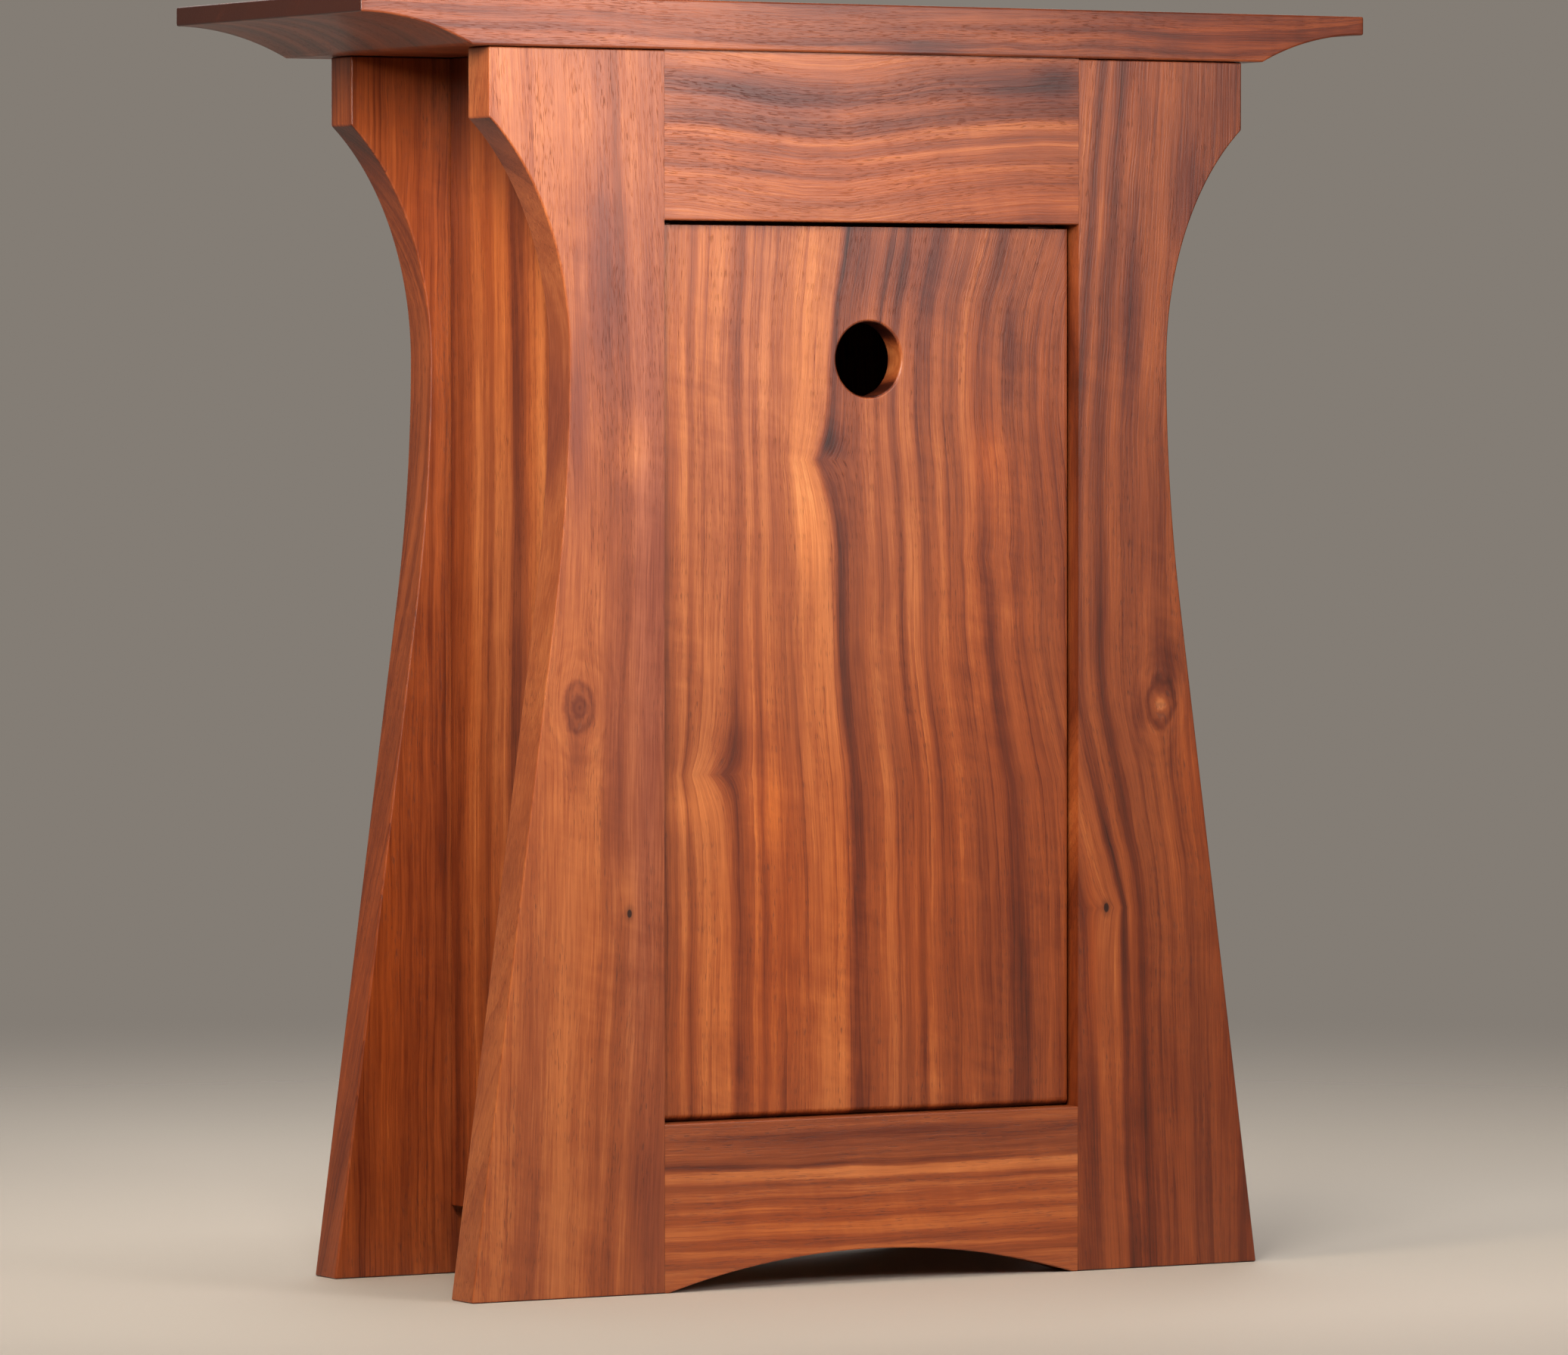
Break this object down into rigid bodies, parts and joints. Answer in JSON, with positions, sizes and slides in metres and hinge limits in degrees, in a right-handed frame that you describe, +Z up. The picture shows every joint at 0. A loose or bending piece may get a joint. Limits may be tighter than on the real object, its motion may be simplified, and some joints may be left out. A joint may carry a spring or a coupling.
{
  "type": "photo album stand",
  "caption": "Flared frame-and-panel hardwood stand with a drop-front door with finger hole, hollow album compartment and overhanging coved top.",
  "frame": {"origin": "on the floor, under the middle of the top board", "axes": "+X along the top board, to the right seen from the door side; -Y out of the door; +Z up"},
  "size_m": [0.49, 0.172, 0.5408],
  "materials": {
    "walnut_top": "walnut, satin oil, grain along the length",
    "walnut_vertical": "walnut, satin oil, upright grain",
    "walnut_horizontal": "walnut, satin oil, level grain",
    "walnut_panel": "figured walnut panel, satin oil, upright grain",
    "walnut_side": "walnut, satin oil, straight upright grain",
    "walnut_inner": "walnut, sealed only",
    "maple_inner": "maple, sealed only",
    "brass": "turned brass",
    "steel": "bright plated steel"
  },
  "bodies": {
    "case": {"top_board": "walnut_top", "back_stile_left": "walnut_vertical", "back_stile_right": "walnut_vertical", "back_top_rail": "walnut_horizontal", "back_bottom_rail": "walnut_horizontal", "front_stile_left": "walnut_vertical", "front_stile_right": "walnut_vertical", "front_top_rail": "walnut_horizontal", "front_bottom_rail": "walnut_horizontal", "front_panel": "walnut_panel", "side_panel_left": "walnut_side", "side_panel_right": "walnut_side", "door_stop_left": "walnut_inner", "door_stop_right": "walnut_inner", "floor_board": "maple_inner", "floor_cleat_left": "maple_inner", "floor_cleat_right": "maple_inner", "top_cleat_back": "maple_inner", "top_cleat_front": "maple_inner", "back_top_tenon_left": "maple_inner", "back_top_tenon_right": "maple_inner", "back_bottom_tenon_left": "maple_inner", "back_bottom_tenon_right": "maple_inner", "back_dowel_left_1": "maple_inner", "back_dowel_left_2": "maple_inner", "back_dowel_left_3": "maple_inner", "back_dowel_right_1": "maple_inner", "back_dowel_right_2": "maple_inner", "back_dowel_right_3": "maple_inner", "front_top_tenon_left": "maple_inner", "front_top_tenon_right": "maple_inner", "front_bottom_tenon_left": "maple_inner", "front_bottom_tenon_right": "maple_inner", "front_dowel_left_1": "maple_inner", "front_dowel_left_2": "maple_inner", "front_dowel_left_3": "maple_inner", "front_dowel_right_1": "maple_inner", "front_dowel_right_2": "maple_inner", "front_dowel_right_3": "maple_inner", "pivot_pin_left": "brass", "pivot_pin_right": "brass", "stop_magnet_left": "steel", "stop_magnet_right": "steel", "top_screw_1": "steel", "top_screw_2": "steel", "top_screw_3": "steel", "top_screw_4": "steel"},
    "door": {"door_panel": "walnut_panel", "door_magnet_left": "steel", "door_magnet_right": "steel"}
  },
  "joints": [
    {"name": "door_hinge", "type": "hinge", "parent": "case", "child": "door", "pos_m": [0, -0.0725, 0.0748], "axis": [1, 0, 0], "range_deg": [0, 90]}
  ]
}
